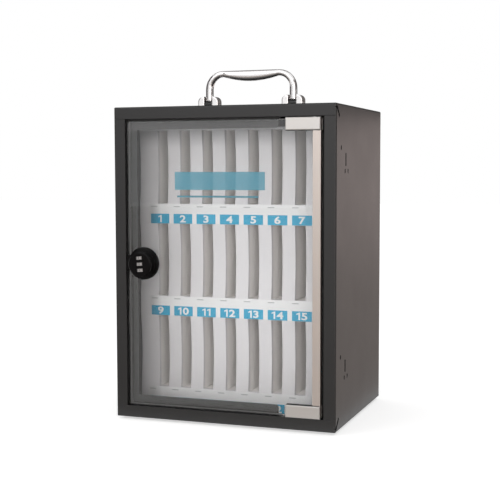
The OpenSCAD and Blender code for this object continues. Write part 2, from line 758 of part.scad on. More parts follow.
// One ten-sided number wheel
module dial(i) on_knob() translate([0, -i * dial_pitch, dial_d]) rotate([90, 0, 0]) difference() {
    rotate(90 + 180 / dial_sides) cylinder(r = dial_r, h = dial_t, center = true, $fn = dial_sides);
    cylinder(r = dial_shaft_r + running, h = 2 * dial_t, center = true);
}

module dial_top() color("#b4b0ad") dial(1);
module dial_middle() color("#b4b0ad") dial(0);
module dial_bottom() color("#b4b0ad") dial(-1);

// The bail is lofted between an outer and an inner curve, from the right foot over the grip.
// Each station is [outer x, outer z, inner x, inner z, half depth], heights from the pivot.
grip_out_x = arm_out - corner_out_r;
grip_in_x = arm_in - corner_in_r;
function swell(x) = 1 - pow(x / grip_in_x, 2);
function belly(x) = grip_end_t + (grip_mid_t - grip_end_t) * swell(x);
function grip_half_d(x) = (grip_end_d + (grip_mid_d - grip_end_d) * swell(x)) / 2;
arm_out_top = grip_top - corner_out_r;
arm_in_top = grip_top - grip_end_t - corner_in_r;
half_bail = concat(
    [for (i = [0 : arm_steps])
        [arm_out, arm_foot + (arm_out_top - arm_foot) * i / arm_steps,
         arm_in, arm_foot + (arm_in_top - arm_foot) * i / arm_steps, arm_d / 2]],
    [for (i = [1 : corner_steps]) let (a = 90 * i / corner_steps)
        [grip_out_x + corner_out_r * cos(a), arm_out_top + corner_out_r * sin(a),
         grip_in_x + corner_in_r * cos(a), arm_in_top + corner_in_r * sin(a), arm_d / 2]],
    [for (i = [1 : grip_steps]) let (k = 1 - i / grip_steps)
        [grip_out_x * k, grip_top,
         grip_in_x * k, grip_top - belly(grip_in_x * k), grip_half_d(grip_in_x * k)]]
);
half_count = len(half_bail);
bail_stations = concat(
    half_bail,
    [for (i = [half_count - 2 : -1 : 0]) let (s = half_bail[i]) [-s[0], s[1], -s[2], s[3], s[4]]]
);

// Rounded ring of one station: an ellipse pushed out towards its corners
function squared(c) = sign(c) * pow(abs(c), 0.72);
function ring(s) = [for (j = [0 : ring_sides - 1]) let (a = 360 * (j + 0.5) / ring_sides)
    [(s[0] + s[2]) / 2 + squared(cos(a)) * (s[0] - s[2]) / 2,
     squared(sin(a)) * s[4],
     (s[1] + s[3]) / 2 + squared(cos(a)) * (s[1] - s[3]) / 2]];

module bail_loft() {
    n = len(bail_stations);
    points = [for (s = bail_stations) each ring(s)];
    walls = [for (i = [0 : n - 2], j = [0 : ring_sides - 1])
        let (k = (j + 1) % ring_sides, p = i * ring_sides, q = p + ring_sides)
        each [[p + j, q + j, q + k], [p + j, q + k, p + k]]];
    first = [for (j = [1 : ring_sides - 2]) [0, j, j + 1]];
    last = [for (j = [1 : ring_sides - 2]) let (p = (n - 1) * ring_sides) [p, p + j + 1, p + j]];
    polyhedron(points, concat(walls, first, last));
}

// Repeats a piece on the pivot under each arm, with Z along the pin
module at_arms() in_case()
    for (s = [-1, 1])
        translate([s * grip_span / 2, handle_y, case_h + pivot_h]) rotate([0, 90, 0]) children();

module handle_bail() color("#e0e0e2") difference() {
    in_case() translate([0, handle_y, case_h + pivot_h]) bail_loft();
    at_arms() cylinder(r = knuckle_r + seat, h = 2 * arm_w, center = true);
}

module handle_knuckles() color("#1c1c1c") at_arms() difference() {
    cylinder(r = knuckle_r, h = knuckle_w, center = true);
    cylinder(r = handle_pin_r + running, h = 2 * knuckle_w, center = true);
}

case_shell();
back_panel();
back_rivets();
tray_top();
tray_middle();
tray_bottom();
rack_cover();
label_strip_top();
label_strip_middle();
label_strip_bottom();
number_tabs_top();
number_tabs_middle();
number_tabs_bottom();
pivot_bush_top();
pivot_bush_bottom();
handle_base_left();
handle_base_right();
handle_pins();
handle_screws();
feet();
glass_pane();
hinge_clamp_top();
hinge_clamp_bottom();
clamp_liners();
pressure_plates();
clamp_screws();
pivot_pins();
edge_strip();
lock_housing();
lock_washer();
lock_nut();
lock_knob();
dial_shaft();
lock_cam();
cam_screw();
dial_top();
dial_middle();
dial_bottom();
handle_bail();
handle_knuckles();
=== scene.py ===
import json
import math
import bpy
import bmesh
from mathutils import Matrix, Vector


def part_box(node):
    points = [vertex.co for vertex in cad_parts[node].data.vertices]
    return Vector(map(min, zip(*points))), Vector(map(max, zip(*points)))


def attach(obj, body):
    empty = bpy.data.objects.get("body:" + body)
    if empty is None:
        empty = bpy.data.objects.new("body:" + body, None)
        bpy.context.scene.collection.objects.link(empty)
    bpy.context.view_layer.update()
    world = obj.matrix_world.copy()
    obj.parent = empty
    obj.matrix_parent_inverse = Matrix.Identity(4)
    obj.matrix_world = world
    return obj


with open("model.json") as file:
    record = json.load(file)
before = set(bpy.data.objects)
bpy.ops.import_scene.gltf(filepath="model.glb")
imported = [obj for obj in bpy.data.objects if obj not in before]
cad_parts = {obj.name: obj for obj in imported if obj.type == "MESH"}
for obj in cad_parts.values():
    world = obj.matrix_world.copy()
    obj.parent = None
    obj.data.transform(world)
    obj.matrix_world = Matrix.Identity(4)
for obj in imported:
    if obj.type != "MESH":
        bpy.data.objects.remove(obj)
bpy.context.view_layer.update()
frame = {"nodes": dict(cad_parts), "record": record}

nodes = frame["nodes"]
scene = bpy.context.scene
mm = 0.001
print("frame loaded:", len(nodes), "nodes")


# Places that the frame gives

racks = ("top", "middle", "bottom")
cardColumns = 8  # phone slots across each rack
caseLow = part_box("case_shell")[0]
glassLow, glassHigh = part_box("glass_pane")
lockLow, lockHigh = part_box("lock_knob")
rackLow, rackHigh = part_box("tray_top")
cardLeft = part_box("label_strip_top")[0].x
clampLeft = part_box("hinge_clamp_bottom")[0].x


# Shader maths: a wire is a socket that can be added, multiplied and so on

class Wire:
    def __init__(self, finish, socket):
        self.finish = finish
        self.socket = socket

    def calc(self, operation, first, second, clamp=False):
        settings = {"operation": operation, "use_clamp": clamp}
        return self.finish.node("ShaderNodeMath", settings, {0: first, 1: second})

    def __add__(self, other):
        return self.calc("ADD", self, other)

    def __radd__(self, other):
        return self.calc("ADD", other, self)

    def __sub__(self, other):
        return self.calc("SUBTRACT", self, other)

    def __rsub__(self, other):
        return self.calc("SUBTRACT", other, self)

    def __mul__(self, other):
        return self.calc("MULTIPLY", self, other)

    def __rmul__(self, other):
        return self.calc("MULTIPLY", other, self)

    def __truediv__(self, other):
        return self.calc("DIVIDE", self, other)

    def __rtruediv__(self, other):
        return self.calc("DIVIDE", other, self)

    def under(self, level):
        return self.calc("LESS_THAN", self, level)

    def most(self, other):
        return self.calc("MAXIMUM", self, other)

    def clamped(self):
        return self.calc("ADD", self, 0.0, True)

    def ramp(self, start, length):
        return ((self - start) / length).clamped()  # 0 up to the start, then rising to 1 over the length

    def swing(self, amount):
        return (self - 0.5) * amount  # a noise's swing about its middle

    def beside(self, out):
        return Wire(self.finish, self.socket.node.outputs[out])  # another output of the same node


def tone(rgb, k=1.0):
    return tuple(c * k for c in rgb) + (1.0,)


nodeGrid = {"wide": 220, "tall": 200, "rows": 5}  # how the nodes stand in the editor
bevelRays = 6
surfaceSockets = {
    "colour": "Base Color", "rough": "Roughness", "metal": "Metallic", "normal": "Normal", "cover": "Alpha",
    "level": "Specular IOR Level", "ior": "IOR", "through": "Transmission Weight",
}


# A finish holds the nodes of one material, or of the world

class Finish:
    def __init__(self, name, isWorld=False):
        store = bpy.data.worlds if isWorld else bpy.data.materials
        self.owner = store.new(name)
        self.owner.use_nodes = True
        self.tree = self.owner.node_tree
        self.tree.nodes.clear()
        self.out = self.tree.nodes.new("ShaderNodeOutputWorld" if isWorld else "ShaderNodeOutputMaterial")

    def node(self, kind, settings=None, inputs=None, out=0):
        made = self.tree.nodes.new(kind)
        column, row = divmod(len(self.tree.nodes), nodeGrid["rows"])
        made.location = (column * nodeGrid["wide"], -row * nodeGrid["tall"])
        for key, value in (settings or {}).items():
            setattr(made, key, value)
        for key, value in (inputs or {}).items():
            socket = made.inputs[key]
            if isinstance(value, Wire):
                self.tree.links.new(value.socket, socket)
            else:
                socket.default_value = value
        return Wire(self, made.outputs[out])

    def here(self):
        return self.node("ShaderNodeTexCoord", out="Object")

    def spread(self, size, stretch=(1, 1, 1)):
        scale = tuple(s / size for s in stretch)
        return self.node("ShaderNodeMapping", {}, {"Vector": self.here(), "Scale": scale})

    def axes(self):
        x = self.node("ShaderNodeSeparateXYZ", {}, {"Vector": self.here()}, "X")
        return x, x.beside("Y"), x.beside("Z")

    def noise(self, size, detail=3.0, rough=0.55, stretch=(1, 1, 1)):
        inputs = {"Vector": self.spread(size, stretch), "Scale": 1.0, "Detail": detail, "Roughness": rough}
        return self.node("ShaderNodeTexNoise", {"normalize": True}, inputs, "Fac")

    def cells(self, size):
        inputs = {"Vector": self.spread(size), "Scale": 1.0}
        return self.node("ShaderNodeTexVoronoi", {"feature": "F1"}, inputs, "Distance")

    def blend(self, share, first, second, kind="MIX"):
        settings = {"data_type": "RGBA", "blend_type": kind}
        return self.node("ShaderNodeMix", settings, {0: share, 6: first, 7: second}, 2)  # the colour sockets

    # Darkens a colour by a share; the racks and cards use it for painted shade
    def dimmed(self, share, colour, shade):
        return self.blend(share, colour, tone((shade, shade, shade)), "MULTIPLY")

    def shaded(self, share, colour, tones):
        return self.blend(share, tone(colour, tones[0]), tone(colour, tones[1]))

    def bump(self, height, strength, depth, soft=None):
        inputs = {"Height": height, "Strength": strength, "Distance": depth}
        if soft:
            inputs["Normal"] = self.node("ShaderNodeBevel", {"samples": bevelRays}, {"Radius": soft})
        return self.node("ShaderNodeBump", {}, inputs)

    def seenRays(self):
        camera = self.node("ShaderNodeLightPath", out="Is Camera Ray")
        return camera.most(camera.beside("Is Glossy Ray")).most(camera.beside("Is Transmission Ray"))

    def glow(self, colour, strength=1.0):
        return self.node("ShaderNodeEmission", {}, {"Color": tone(colour), "Strength": strength})

    def surface(self, **inputs):
        if not isinstance(inputs["colour"], Wire):
            inputs["colour"] = tone(inputs["colour"])
        values = {surfaceSockets[key]: value for key, value in inputs.items()}
        return self.node("ShaderNodeBsdfPrincipled", {}, values)

    def show(self, shader):
        self.tree.links.new(shader.socket, self.out.inputs["Surface"])
        return self.owner


# Powder coat of the case

paintLook = {
    "colour": (0.0118, 0.0114, 0.0114), "tones": (0.86, 1.16), "rough": 0.43, "level": 0.54,
    "grain": {"size": 0.55 * mm, "detail": 2.0, "rough": 0.5}, "grainSwing": 0.10,
    "patch": {"size": 60 * mm}, "patchSwing": 0.08,
    "speckSize": 1.1 * mm, "speckReach": 0.22, "speckShare": 0.25, "speckTone": 1.9,
    "peel": {"strength": 0.22, "depth": 0.06 * mm, "soft": 0.5 * mm}, "grainInPeel": 0.6,
}


def casePaint():
    f = Finish("charcoal_powder_coat")
    grain = f.noise(**paintLook["grain"])
    speck = f.cells(paintLook["speckSize"])
    patch = f.noise(**paintLook["patch"])
    base = f.shaded(patch, paintLook["colour"], paintLook["tones"])
    pale = tone(paintLook["colour"], paintLook["speckTone"])
    base = f.blend(speck.under(paintLook["speckReach"]) * paintLook["speckShare"], base, pale)
    rough = paintLook["rough"] + grain.swing(paintLook["grainSwing"]) + patch.swing(paintLook["patchSwing"])
    skin = grain * paintLook["grainInPeel"] + speck * (1 - paintLook["grainInPeel"])
    peel = f.bump(skin, **paintLook["peel"])
    return f.show(f.surface(colour=base, rough=rough, normal=peel, level=paintLook["level"]))


# White plastic of the racks, with painted light and shade: the slots painted paler, painted shade at the
# left end and along the top

rackLook = {
    # The fins' colour, then the slots' colour, which is painted paler than the fins as painted light
    "fin": (0.815, 0.795, 0.825), "slotPaintedLight": (0.995, 0.965, 0.955), "rough": 0.42, "level": 0.22,
    "edge": 3.6 * mm, "fade": 5 * mm,
    # Painted shade at the left end and along the top, which the slots take less of
    "end": 43 * mm, "endShade": 0.60, "slotRelief": 0.6,
    "crown": 21 * mm, "crownShade": 0.64,
    "cloud": {"size": 38 * mm}, "cloudShare": 0.04, "cloudTone": 0.6, "cloudSwing": 0.12,
    "fine": {"size": 0.9 * mm, "detail": 2.0},
    "skin": {"strength": 0.10, "depth": 0.03 * mm, "soft": 0.8 * mm},
}


def rackPlastic():
    f = Finish("white_moulded_plastic")
    cloud = f.noise(**rackLook["cloud"])
    fine = f.noise(**rackLook["fine"])
    across, depth, rise = f.axes()
    # Inside the slots the colour is painted paler, as painted light
    inward = depth.ramp(rackLow.y + rackLook["edge"], rackLook["fade"])
    # Painted shade at the left end of the rack and under its top, lighter in the slots
    leftEndShade = 1 - across.ramp(rackLow.x, rackLook["end"])
    crown = rise.ramp(rackHigh.z - rackLook["crown"], rackLook["crown"])
    relief = 1 - inward * rackLook["slotRelief"]
    base = f.blend(inward, tone(rackLook["fin"]), tone(rackLook["slotPaintedLight"]))
    base = f.dimmed(leftEndShade * relief, base, rackLook["endShade"])
    base = f.dimmed(crown * relief, base, rackLook["crownShade"])
    base = f.blend(cloud * rackLook["cloudShare"], base, tone(rackLook["fin"], rackLook["cloudTone"]))
    rough = rackLook["rough"] + cloud.swing(rackLook["cloudSwing"])
    skin = f.bump(fine, **rackLook["skin"])
    return f.show(f.surface(colour=base, rough=rough, normal=skin, level=rackLook["level"]))


# Number cards, with painted shade at the left end like the racks

cardLook = {
    "colour": (0.91, 0.905, 0.925), "tones": (0.97, 1.02), "rough": 0.5, "roughSwing": 0.1,
    # Painted shade at the left end of the card
    "hold": 5 * mm, "fade": 12 * mm, "endShade": 0.60,
    "fibre": {"size": 1.6 * mm, "detail": 4.0, "rough": 0.6, "stretch": (1, 1, 3)},
    "tooth": {"strength": 0.12, "depth": 0.03 * mm},
}


# Painted shade at the left end of the cards and of the inks printed on them
def cardEnd(f, base):
    dim = 1 - f.axes()[0].ramp(cardLeft + cardLook["hold"], cardLook["fade"])
    return f.dimmed(dim, base, cardLook["endShade"])


def cardPaper():
    f = Finish("white_card")
    fibre = f.noise(**cardLook["fibre"])
    base = cardEnd(f, f.shaded(fibre, cardLook["colour"], cardLook["tones"]))
    rough = cardLook["rough"] + fibre.swing(cardLook["roughSwing"])
    tooth = f.bump(fibre, **cardLook["tooth"])
    return f.show(f.surface(colour=base, rough=rough, normal=tooth))


# Inks

inkLook = {
    "mottle": {"size": 2.2 * mm, "detail": 4.0, "rough": 0.6}, "roughSwing": 0.1,
    "tooth": {"strength": 0.08, "depth": 0.02 * mm},
}
inkPlans = {
    "blue_number_ink": {"colour": (0.012, 0.39, 0.645), "onCard": True},
    "white_number_ink": {"colour": (0.86, 0.87, 0.87), "spread": 0.02, "onCard": True},
    "grey_mark_ink": {"colour": (0.52, 0.53, 0.55), "onCard": True},
    "black_digit_ink": {"colour": (0.012, 0.012, 0.013)},
    "blue_band_ink": {"colour": (0.14, 0.44, 0.57), "rough": 0.4, "cover": 0.60},
    "teal_rule_ink": {"colour": (0.11, 0.30, 0.38), "rough": 0.4},
    "ground_glass_edge": {"colour": (0.135, 0.135, 0.135), "rough": 0.6, "spread": 0.1},
}


def ink(name, colour, rough=0.45, spread=0.06, cover=1.0, onCard=False):
    f = Finish(name)
    mottle = f.noise(**inkLook["mottle"])
    base = f.shaded(mottle, colour, (1 - spread, 1 + spread))
    # Inks on the cards take the cards' painted shade at the left end
    if onCard:
        base = cardEnd(f, base)
    rough = rough + mottle.swing(inkLook["roughSwing"])
    tooth = f.bump(mottle, **inkLook["tooth"])
    return f.show(f.surface(colour=base, rough=rough, normal=tooth, cover=cover))


# Chrome of the handle and its saddles

chromeLook = {
    "colour": (0.80, 0.785, 0.78), "tones": (0.96, 1.03), "rough": 0.10,
    "wave": {"size": 9 * mm}, "waveSwing": 0.04,
    "scuff": {"size": 0.5 * mm, "rough": 0.6, "stretch": (0.15, 1, 1)}, "scuffSwing": 0.06,
    "ripple": {"strength": 0.06, "depth": 0.2 * mm, "soft": 2.2 * mm},
}


def chromePlate():
    f = Finish("chrome_plate")
    wave = f.noise(**chromeLook["wave"])
    scuff = f.noise(**chromeLook["scuff"])
    base = f.shaded(wave, chromeLook["colour"], chromeLook["tones"])
    rough = chromeLook["rough"] + scuff.swing(chromeLook["scuffSwing"]) + wave.swing(chromeLook["waveSwing"])
    ripple = f.bump(wave, **chromeLook["ripple"])
    return f.show(f.surface(colour=base, rough=rough, metal=1.0, normal=ripple))


# Brushed steel of the hinges, of pins, screws and rivets, and of the strip on the glass edge

steelLook = {
    "brush": {"size": 0.35 * mm, "rough": 0.6}, "brushShare": 0.3, "brushTone": 0.8, "brushSwing": 0.12,
    "cloud": {"size": 30 * mm, "detail": 2.0}, "cloudTone": 0.97,
    "grain": {"strength": 0.10, "depth": 0.02 * mm, "soft": 0.3 * mm},
}
steelPlans = {
    "satin_hinge_steel": {
        "colour": (0.63, 0.62, 0.605), "rough": 0.44, "stretch": (0.06, 1, 1), "warmth": 0.03},
    "zinc_screw_steel": {
        "colour": (0.60, 0.60, 0.61), "rough": 0.32, "stretch": (1, 0.2, 1), "warmth": 0.0},
    "warm_edge_strip_steel": {
        "colour": (0.615, 0.57, 0.54), "rough": 0.42, "stretch": (1, 1, 0.04), "warmth": 0.06},
}


def satinSteel(name, colour, rough, stretch, warmth):
    f = Finish(name)
    brush = f.noise(stretch=stretch, **steelLook["brush"])
    cloud = f.noise(**steelLook["cloud"])
    red, green, blue = colour
    warm = (red * (1 + warmth), green, blue * (1 - warmth))
    base = f.blend(cloud, tone(colour, steelLook["cloudTone"]), tone(warm))
    base = f.blend(brush * steelLook["brushShare"], base, tone(colour, steelLook["brushTone"]))
    rough = rough + brush.swing(steelLook["brushSwing"])
    grain = f.bump(brush, **steelLook["grain"])
    return f.show(f.surface(colour=base, rough=rough, metal=1.0, normal=grain))


# Lacquer of the lock and plastic of its wheels

lockLook = {
    "dark": (0.0022, 0.0020, 0.0022), "pale": (0.0036, 0.0032, 0.0036), "rough": 0.20, "level": 0.13,
    "cloud": {"size": 6 * mm}, "cloudSwing": 0.08,
    "fine": {"size": 0.3 * mm, "detail": 2.0},
    "skin": {"strength": 0.06, "depth": 0.02 * mm, "soft": 0.4 * mm},
}


def lockLacquer():
    f = Finish("black_lock_lacquer")
    cloud = f.noise(**lockLook["cloud"])
    fine = f.noise(**lockLook["fine"])
    base = f.blend(cloud, tone(lockLook["dark"]), tone(lockLook["pale"]))
    rough = lockLook["rough"] + cloud.swing(lockLook["cloudSwing"])
    skin = f.bump(fine, **lockLook["skin"])
    return f.show(f.surface(colour=base, rough=rough, level=lockLook["level"], normal=skin))


dialLook = {
    "dark": (0.37, 0.35, 0.34), "pale": (0.44, 0.42, 0.41), "rough": 0.42,
    "cloud": {"size": 2.5 * mm}, "cloudSwing": 0.1,
    "skin": {"strength": 0.08, "depth": 0.03 * mm, "soft": 0.2 * mm},
}


def dialPlastic():
    f = Finish("pale_dial_plastic")
    cloud = f.noise(**dialLook["cloud"])
    base = f.blend(cloud, tone(dialLook["dark"]), tone(dialLook["pale"]))
    rough = dialLook["rough"] + cloud.swing(dialLook["cloudSwing"])
    skin = f.bump(cloud, **dialLook["skin"])
    return f.show(f.surface(colour=base, rough=rough, normal=skin))


# Nylon of the bushes and the handle's knuckles, rubber of the feet and the hinge liners

rubberLook = {
    "tones": (0.85, 1.15), "fine": {"size": 0.4 * mm}, "fineSwing": 0.15,
    "skin": {"strength": 0.15, "depth": 0.04 * mm},
}
rubberPlans = {
    "black_nylon": {"colour": (0.010, 0.010, 0.010), "rough": 0.42},
    "black_rubber": {"colour": (0.012, 0.012, 0.012), "rough": 0.6},
}


def rubber(name, colour, rough):
    f = Finish(name)
    fine = f.noise(**rubberLook["fine"])
    base = f.shaded(fine, colour, rubberLook["tones"])
    rough = rough + fine.swing(rubberLook["fineSwing"])
    skin = f.bump(fine, **rubberLook["skin"])
    return f.show(f.surface(colour=base, rough=rough, normal=skin))


# Glass of the door, which lets the lamps through

glassLook = {
    "colour": (0.975, 0.985, 0.98), "ior": 1.45, "shadow": (0.93, 0.945, 0.94),
    "drawn": {"size": 90 * mm, "detail": 2.0}, "wave": {"strength": 0.002, "depth": 0.4 * mm},
}


def paneGlass():
    f = Finish("clear_pane_glass")
    wave = f.bump(f.noise(**glassLook["drawn"]), **glassLook["wave"])
    body = f.surface(colour=glassLook["colour"], rough=0.0, ior=glassLook["ior"], through=1.0, normal=wave)
    clear = f.node("ShaderNodeBsdfTransparent", {}, {"Color": tone(glassLook["shadow"])})
    lampRay = f.node("ShaderNodeLightPath", out="Is Shadow Ray")
    return f.show(f.node("ShaderNodeMixShader", {}, {0: lampRay, 1: body, 2: clear}))


inks = {name: ink(name, **plan) for name, plan in inkPlans.items()}
steels = {name: satinSteel(name, **plan) for name, plan in steelPlans.items()}
rubbers = {name: rubber(name, **plan) for name, plan in rubberPlans.items()}
finishes = {
    "case_paint": casePaint(),
    "rack_white": rackPlastic(),
    "card_white": cardPaper(),
    "number_blue": inks["blue_number_ink"],
    "nylon_black": rubbers["black_nylon"],
    "black_rubber": rubbers["black_rubber"],
    "handle_chrome": chromePlate(),
    "pane_glass": paneGlass(),
    "hinge_steel": steels["satin_hinge_steel"],
    "screw_steel": steels["zinc_screw_steel"],
    "lock_black": lockLacquer(),
    "dial_grey": dialPlastic(),
}
print("finishes made:", len(bpy.data.materials))


def dress(name, material):
    mesh = nodes[name].data
    mesh.materials.clear()
    mesh.materials.append(material)
    for face in mesh.polygons:
        face.material_index = 0


for entry in frame["record"]["subparts"]:
    dress(entry["node"], finishes[entry["material_slot"]])
dress("edge_strip", steels["warm_edge_strip_steel"])
print("case, door and lock dressed")


# Mesh helpers

fontPlan = {"figureShare": 0.70, "curveSteps": 4}  # a figure's height as a share of the font's size
onePlan = {"stroke": 0.10, "flag": 0.20, "peak": 0.2, "flagTop": 0.83, "flagLow": 0.66, "neck": 0.76}
faceFront = Matrix.Rotation(math.radians(90), 4, "X")  # lays lettering upright, facing the front


def linked(name, data):
    obj = bpy.data.objects.new(name, data)
    scene.collection.objects.link(obj)
    return obj


def piece(name, mesh, material, body):
    mesh.materials.append(material)
    obj = linked(name, mesh)
    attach(obj, body)


def plainMesh(obj):
    depsgraph = bpy.context.evaluated_depsgraph_get()
    return bpy.data.meshes.new_from_object(obj.evaluated_get(depsgraph))


def meshFrom(bm, name):
    mesh = bpy.data.meshes.new(name)
    bm.to_mesh(mesh)
    bm.free()
    return mesh


def span(mesh, axis):
    places = [v.co[axis] for v in mesh.vertices]
    return min(places), max(places)


def joined(name, parts):
    bm = bmesh.new()
    for mesh, matrix in parts:
        placed = mesh.copy()
        placed.transform(matrix)
        bm.from_mesh(placed)
        bpy.data.meshes.remove(placed)
    return meshFrom(bm, name)


def figureMesh(figure, plan):
    curve = bpy.data.curves.new("figure", "FONT")
    curve.body = figure
    curve.size = plan["height"] / fontPlan["figureShare"]
    curve.offset = plan["weight"]
    curve.extrude = plan["thick"] / 2
    curve.resolution_u = fontPlan["curveSteps"]
    holder = linked("figure", curve)
    mesh = plainMesh(holder)
    bpy.data.objects.remove(holder)
    left, right = span(mesh, 0)
    low, high = span(mesh, 1)
    mesh.transform(Matrix.Translation((-(left + right) / 2, -(low + high) / 2, 0)))
    return mesh


# A figure 1 without a foot, drawn from its lower left corner
def oneMesh(plan):
    tall = plan["height"] + 2 * plan["weight"]
    right = (onePlan["stroke"] * plan["height"]) / 2 + plan["weight"]
    flag = -right - onePlan["flag"] * tall
    peak = -right * onePlan["peak"]
    outline = [(-right, 0), (right, 0), (right, tall), (peak, tall), (flag, tall * onePlan["flagTop"]),
               (flag, tall * onePlan["flagLow"]), (-right, tall * onePlan["neck"])]
    bm = bmesh.new()
    front = bm.faces.new([bm.verts.new((x, y - tall / 2, plan["thick"] / 2)) for x, y in outline])
    raised = bmesh.ops.extrude_face_region(bm, geom=[front])
    rear = [v for v in raised["geom"] if isinstance(v, bmesh.types.BMVert)]
    bmesh.ops.translate(bm, vec=(0, 0, -plan["thick"]), verts=rear)
    bmesh.ops.recalc_face_normals(bm, faces=bm.faces)
    return meshFrom(bm, "figure")


def numberMesh(number, plan):
    figures = [oneMesh(plan) if c == "1" else figureMesh(c, plan) for c in number]
    spans = [span(figure, 0) for figure in figures]
    gap = plan["gap"] * plan["height"]
    along = -(sum(right - left for left, right in spans) + gap * (len(spans) - 1)) / 2
    parts = []
    for figure, (left, right) in zip(figures, spans):
        parts.append((figure, Matrix.Translation((along - left, 0, 0))))
        along += right - left + gap
    return joined("number", parts)


# Numbers on the blue blocks, row by row from the top rack

numberPlan = {"height": 8.5 * mm, "weight": 0.38 * mm, "wide": 1.36, "thick": 0.06 * mm, "gap": 0.16}
widen = Matrix.Scale(numberPlan["wide"], 4, (1, 0, 0))
numberParts = []
for row, rack in enumerate(racks):
    tabLow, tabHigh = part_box("number_tabs_" + rack)
    cardLow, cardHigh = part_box("label_strip_" + rack)
    step = (cardHigh.x - cardLow.x) / cardColumns
    front = tabLow.y - numberPlan["thick"] / 2
    middle = (tabLow.z + tabHigh.z) / 2
    for column in range(cardColumns):
        mesh = numberMesh(str(row * cardColumns + column + 1), numberPlan)
        place = Matrix.Translation((cardLow.x + (column + 0.5) * step, front, middle))
        numberParts.append((mesh, place @ faceFront @ widen))
piece("slot_numbers", joined("slot_numbers", numberParts), inks["white_number_ink"], "case")
print("slot numbers:", len(numberParts))


# Grey marks along the top of each card, set out by a node tree

markPlan = {"length": 8.6 * mm, "height": 1.2 * mm, "thick": 0.05 * mm, "down": 3.3 * mm, "left": 3.0 * mm}
markInputs = {"Size": "Vector", "Step": "Vector", "Start": "Vector", "Columns": "Int", "Ink": "Material"}


def markTree():
    tree = bpy.data.node_groups.new("card_marks", "GeometryNodeTree")
    tree.interface.new_socket("Geometry", in_out="OUTPUT", socket_type="NodeSocketGeometry")
    for name, kind in markInputs.items():
        tree.interface.new_socket(name, in_out="INPUT", socket_type="NodeSocket" + kind)
    add = tree.nodes.new
    link = tree.links.new
    given = add("NodeGroupInput")
    row = add("GeometryNodeMeshLine")
    link(given.outputs["Columns"], row.inputs["Count"])
    link(given.outputs["Step"], row.inputs["Offset"])
    link(given.outputs["Start"], row.inputs["Start Location"])
    dash = add("GeometryNodeMeshCube")
    link(given.outputs["Size"], dash.inputs["Size"])
    onRow = add("GeometryNodeInstanceOnPoints")
    link(row.outputs["Mesh"], onRow.inputs["Points"])
    link(dash.outputs["Mesh"], onRow.inputs["Instance"])
    real = add("GeometryNodeRealizeInstances")
    link(onRow.outputs["Instances"], real.inputs["Geometry"])
    paint = add("GeometryNodeSetMaterial")
    link(real.outputs["Geometry"], paint.inputs["Geometry"])
    link(given.outputs["Ink"], paint.inputs["Material"])
    link(paint.outputs["Geometry"], add("NodeGroupOutput").inputs["Geometry"])
    return tree


def grown(name, tree, values):
    seed = linked(name, bpy.data.meshes.new(name))
    modifier = seed.modifiers.new("grow", "NODES")
    modifier.node_group = tree
    for item in tree.interface.items_tree:
        if item.in_out == "INPUT":
            modifier[item.identifier] = values[item.name]
    mesh = plainMesh(seed)
    seed.modifiers.clear()
    bpy.data.objects.remove(seed)
    return mesh


marks = markTree()
markParts = []
for rack in racks:
    cardLow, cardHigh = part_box("label_strip_" + rack)
    row = grown("card_marks", marks, {
        "Size": (markPlan["length"], markPlan["thick"], markPlan["height"]),
        "Step": ((cardHigh.x - cardLow.x) / cardColumns, 0, 0),
        "Start": (cardLow.x + markPlan["left"] + markPlan["length"] / 2,
                  cardLow.y - markPlan["thick"] / 2,
                  cardHigh.z - markPlan["down"]),
        "Columns": cardColumns,
        "Ink": inks["grey_mark_ink"],
    })
    markParts.append((row, Matrix.Identity(4)))
piece("card_marks", joined("card_marks", markParts), inks["grey_mark_ink"], "case")
print("card marks:", len(markParts), "rows")


# Figures round the wheels of the lock, which lean with the knob

dialPlan = {"sides": 10, "height": 2.2 * mm, "weight": 0.05 * mm, "thick": 0.04 * mm}
wheelAxes = {joint["child"]: joint["axis"] for joint in frame["record"]["behaviour"]["joints"]}
for wheel in racks:
    low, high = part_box("dial_" + wheel)
    axis = wheelAxes["wheel_" + wheel]
    centre = (low + high) / 2
    stand = Matrix.Translation(centre) @ Matrix.Rotation(math.atan2(axis[0], axis[2]), 4, "Y")
    lay = Matrix.Translation((0, low.y - centre.y - dialPlan["thick"] / 2, 0)) @ faceFront
    parts = []
    for i in range(dialPlan["sides"]):
        turn = Matrix.Rotation(math.radians(360 / dialPlan["sides"] * i), 4, "Z")
        parts.append((figureMesh(str(i), dialPlan), stand @ turn @ lay))
    name = "dial_figures_" + wheel
    piece(name, joined(name, parts), inks["black_digit_ink"], "wheel_" + wheel)
print("dial figures done")


# Plain print on the glass, a band and a thin rule: left, low, right and high sides in millimetres

printPlan = {"band": (-60, 280.4, 54, 301.7), "rule": (-57, 271.4, 46, 273.6),
             "thick": 0.04 * mm, "gap": 0.005 * mm}


# Thin plates on the front of the glass, each from its four sides
def plates(name, sides, thick, gap=0.0):
    bm = bmesh.new()
    for left, low, right, high in sides:
        middle = Vector(((left + right) / 2, glassLow.y - gap - thick / 2, (low + high) / 2))
        size = Vector((right - left, thick, high - low))
        bmesh.ops.create_cube(bm, size=1.0, matrix=Matrix.LocRotScale(middle, None, size))
    return meshFrom(bm, name)


def printed(name, sides, material):
    left, low, right, high = (side * mm for side in sides)
    place = (left, caseLow.z + low, right, caseLow.z + high)
    piece(name, plates(name, [place], printPlan["thick"], printPlan["gap"]), material, "door")


printed("glass_band", printPlan["band"], inks["blue_band_ink"])
printed("glass_rule", printPlan["rule"], inks["teal_rule_ink"])
print("glass print done")


# Ground line inside the free, top and bottom edges of the glass, open at the lock's hook

edgePlan = {"wide": 1.0 * mm, "proud": 0.02 * mm, "clear": 1.0 * mm, "hook": 9.0 * mm,
            "left": 1.9 * mm, "top": 0.9 * mm, "bottom": 0.6 * mm}


